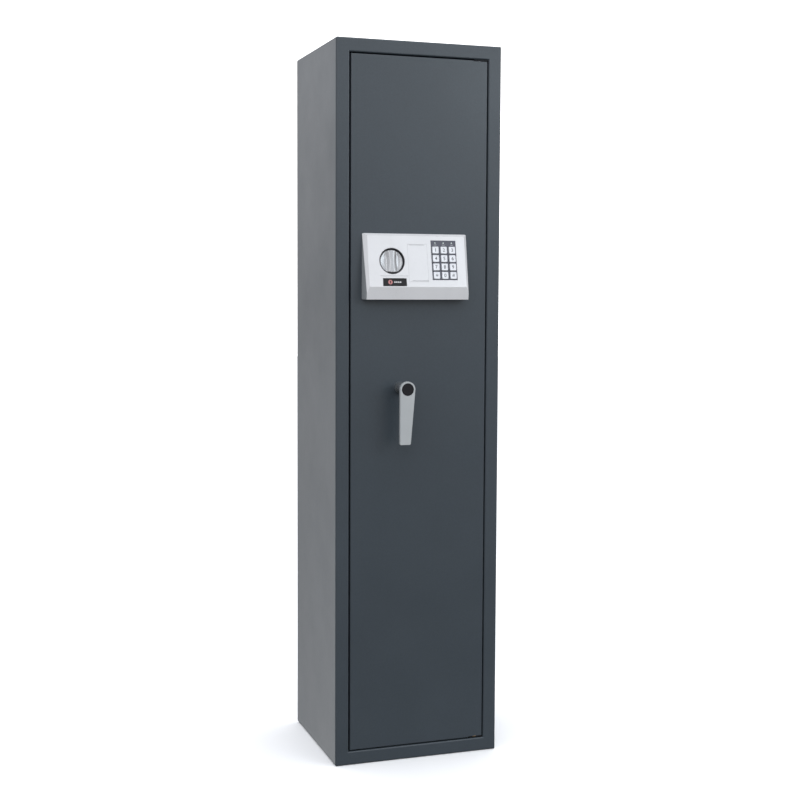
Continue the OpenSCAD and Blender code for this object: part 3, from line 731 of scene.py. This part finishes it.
leds = []
for i in range(3):
    prof = [(0, -0.1), (0.35, -0.07), (0.7, 0.02), (0.95, 0.14), (1.12, 0.32), (1.18, 0.6), (1.2, 5.2), (0, 5.2)]
    leds.append(moved(lathe(prof, 40), Matrix.Translation(Vector((K0 + KP * i, 0, 77.1)) * MM)))
fresh("led_lenses", moved(merge(*leds), FACE), "led", "door", ("status_leds",), weighted=False)
ticks = []
for i in range(3):
    ticks.append(prism(round_outline(K0 + KP * i - 2.6, 73.35, K0 + KP * i + 2.6, 73.85, 0.2, 3), 0.14, 0.3))
fresh("led_ticks", moved(merge(*ticks), FACE), "mark", "door", weighted=False)

# ------------------------------------------------------------------ lever
LX, LZ = -35.0, 658.0
out = [(13.5 * math.cos(math.radians(a)), 13.5 * math.sin(math.radians(a))) for a in range(0, 181, 4)]
tail = fillet([(-13.5, 0), (-13.5, -94.5), (5.5, -94.5), (13.5, 0)], [0, 2.2, 2.2, 0], 8)[1:-1]
outline = out + tail
plate = prism(outline, -174, -168)
bevel(plate, lambda e, m, a: abs(m.y + 174) < 0.05 and a > 60, 1.5, 5)
bevel(plate, lambda e, m, a: abs(m.y + 168) < 0.05 and a > 60, 1.2, 4)
plate = moved(plate, Matrix.Translation((LX * MM, 0, LZ * MM)))
po = from_bm("plate", plate)
seat = moved(lathe([(0, -175), (10.9, -175), (10.9, -174.05), (10.75, -173.8), (10.7, -171.6), (0, -171.6)], 96), Matrix.Translation((LX * MM, 0, LZ * MM)))
cut(po, from_bm("seat", seat))
bm = bmesh.new()
bm.from_mesh(po.data)
bpy.data.objects.remove(po)
fresh("lever_arm", bm, "lever", "lever", ("lever_handle",), angle=42)
neck = moved(lathe([(0, -169.2), (10.6, -169.2), (10.6, -167.9), (10.0, -167.3), (9.65, -166.6), (9.5, -165.6), (9.5, -133.4), (9.35, -133.0), (9.35, -132.6), (9.5, -132.2), (9.45, -131.8), (9.1, -131.5), (5.02, -131.5), (5.02, -160), (0, -160)], 96), Matrix.Translation((LX * MM, 0, LZ * MM)))
fresh("lever_neck", neck, "neck", "lever", ("lever_handle",), angle=42, weighted=False)
cap = moved(lathe([(0, -174.32), (7.5, -174.34), (9.4, -174.4), (9.95, -174.36), (10.3, -174.2), (10.48, -173.9), (10.5, -172), (0, -172)], 96), Matrix.Translation((LX * MM, 0, LZ * MM)))
fresh("lever_cap_disc", cap, "cap", "lever", ("lever_cap",), weighted=False)
bush = moved(lathe([(5.05, -131.2), (10.9, -131.2), (11.3, -131.05), (11.5, -130.75), (11.5, -130), (8, -130), (8, -113.4), (7.6, -113), (5.05, -113), (5.05, -131.2)], 96), Matrix.Translation((LX * MM, 0, LZ * MM)))
bmesh.ops.remove_doubles(bush, verts=bush.verts, dist=1e-7)
fresh("lever_bush", bush, "paint_door", "door", ("spindle_bush",))

# ------------------------------------------------------------------ inside: screws, bolts, rest, mat


def pan_screw(x, z, y_head, r=4.0, h=2.0, r_shank=2.0, y_tip=-85.3):
    """A pan-head screw with a cross recess, its head towards +Y."""
    prof = [(0, y_head)]
    for i in range(1, 7):
        a = math.pi / 2 * i / 6
        prof.append((r * math.sin(a), y_head - h * 0.62 * (1 - math.cos(a))))
    prof += [(r, y_head - h), (r_shank, y_head - h), (r_shank, y_tip + 0.5), (r_shank - 0.5, y_tip), (0, y_tip)]
    o = from_bm("screw", moved(lathe(prof, 40), Matrix.Translation((x * MM, 0, z * MM))))
    for rot in (0, 90):
        q = bm_box((-0.45, y_head - 1.15, -2.1), (0.45, y_head + 1, 2.1))
        q.transform(Matrix.Translation((x * MM, 0, z * MM)) @ Matrix.Rotation(math.radians(rot + 20 + (x * 7 + z) % 60), 4, "Y"))
        cut(o, from_bm("cross", q))
    b = bmesh.new()
    b.from_mesh(o.data)
    bpy.data.objects.remove(o)
    return b


fresh("cover_screw_set", merge(*[pan_screw(x, z, -78.5) for z in (160, 420, 800, 1090) for x in (-108, 92)]), "zinc", "door", ("cover_screws",), weighted=False)

bm = take("boltwork_cover")
bevel(bm, lambda e, m, a: abs(m.y + 80.5) < 0.05 and a > 60, 0.35, 2)
fresh("cover_sheet", bm, "paint_in", "door", ("boltwork_cover",))

bm = take("side_bolts")
fresh("bolt_trio", bm, "chrome", "bolt_carriage", ("side_bolts",))

bm = take("barrel_rest")
bevel(bm, lambda e, m, a: a > 60 and (m.z > 929.9), 2.2, 3)
fresh("rest_foam", bm, "foam", "cabinet", ("barrel_rest",))

bm = take("floor_mat")
bevel(bm, lambda e, m, a: a > 60 and m.z > 5.9, 0.8, 2)
fresh("mat_felt", bm, "felt", "cabinet", ("floor_mat",))

# ------------------------------------------------------------------ stage and light
fl = bmesh.new()
bmesh.ops.create_circle(fl, cap_ends=True, segments=96, radius=14)
floor = from_bm("floor", fl)
floor.location.z = -0.0004
pale = Nodes("floor_pale")
pale.set(base=pale.ramp(pale.noise(3, 2, 0.5), [(0.3, (0.86, 0.86, 0.87)), (0.7, (0.89, 0.89, 0.895))]), rough=0.9, spec=0.1)
floor.data.materials.append(pale.mat)
floor.visible_diffuse = False
floor.visible_glossy = False
floor.visible_shadow = False

dm = bmesh.new()
bmesh.ops.create_uvsphere(dm, u_segments=48, v_segments=24, radius=13.5)
dome = from_bm("backdrop", dm)
white = Nodes("backdrop_white")
white.set(base=white.ramp(white.noise(0.2, 1, 0.5), [(0.4, (0.9, 0.9, 0.9)), (0.6, (0.92, 0.92, 0.92))]), rough=1.0, emit=1.2, emit_col=(1, 1, 1))
dome.data.materials.append(white.mat)
for flag in ("visible_diffuse", "visible_glossy", "visible_transmission", "visible_shadow"):
    setattr(dome, flag, False)

world = bpy.data.worlds.new("studio")
bpy.context.scene.world = world
world.use_nodes = True
wt = world.node_tree
bg = wt.nodes["Background"]
wc = wt.nodes.new("ShaderNodeTexCoord")
sep = wt.nodes.new("ShaderNodeSeparateXYZ")
wt.links.new(wc.outputs["Generated"], sep.inputs[0])
wr = wt.nodes.new("ShaderNodeValToRGB")
wm = wt.nodes.new("ShaderNodeMapRange")
wm.inputs["From Min"].default_value = -1
wm.inputs["From Max"].default_value = 1
wt.links.new(sep.outputs["Z"], wm.inputs["Value"])
wt.links.new(wm.outputs["Result"], wr.inputs["Fac"])
els = wr.color_ramp.elements
stops = [(0.0, (0.15, 0.15, 0.15)), (0.44, (0.17, 0.17, 0.17)), (0.52, (0.62, 0.62, 0.63)), (0.66, (0.86, 0.88, 0.92)), (1.0, (0.95, 0.97, 1.0))]
while len(els) < len(stops):
    els.new(0.5)
for el, (p, col) in zip(els, stops):
    el.position = p
    el.color = (*col, 1)
wt.links.new(wr.outputs["Color"], bg.inputs["Color"])
bg.inputs["Strength"].default_value = 1.6


def softbox(name, loc, aim, w, h, power, color=(1, 1, 1)):
    d = bpy.data.lights.new(name, "AREA")
    d.shape = "RECTANGLE"
    d.size, d.size_y, d.energy, d.color = w, h, power, color
    o = bpy.data.objects.new(name, d)
    bpy.context.collection.objects.link(o)
    o.location = loc
    o.rotation_euler = (Vector(aim) - Vector(loc)).to_track_quat("-Z", "Y").to_euler()
    o.visible_camera = False
    return o


softbox("side_wall", (-1.75, 2.3, -0.6), (-0.15, 0, 0.3), 1.8, 2.5, 20, (0.97, 0.98, 1.0))
softbox("upper_right", (2.0, -2.9, 1.9), (0.1, -0.13, 1.1), 1.3, 1.1, 19, (0.84, 0.94, 1.0))
softbox("right_strip", (2.7, -1.75, 0.65), (0, -0.13, 0.65), 0.7, 2.4, 8)
softbox("key", (-0.9, -2.9, 2.3), (0, 0, 0.75), 1.4, 1.4, 13)
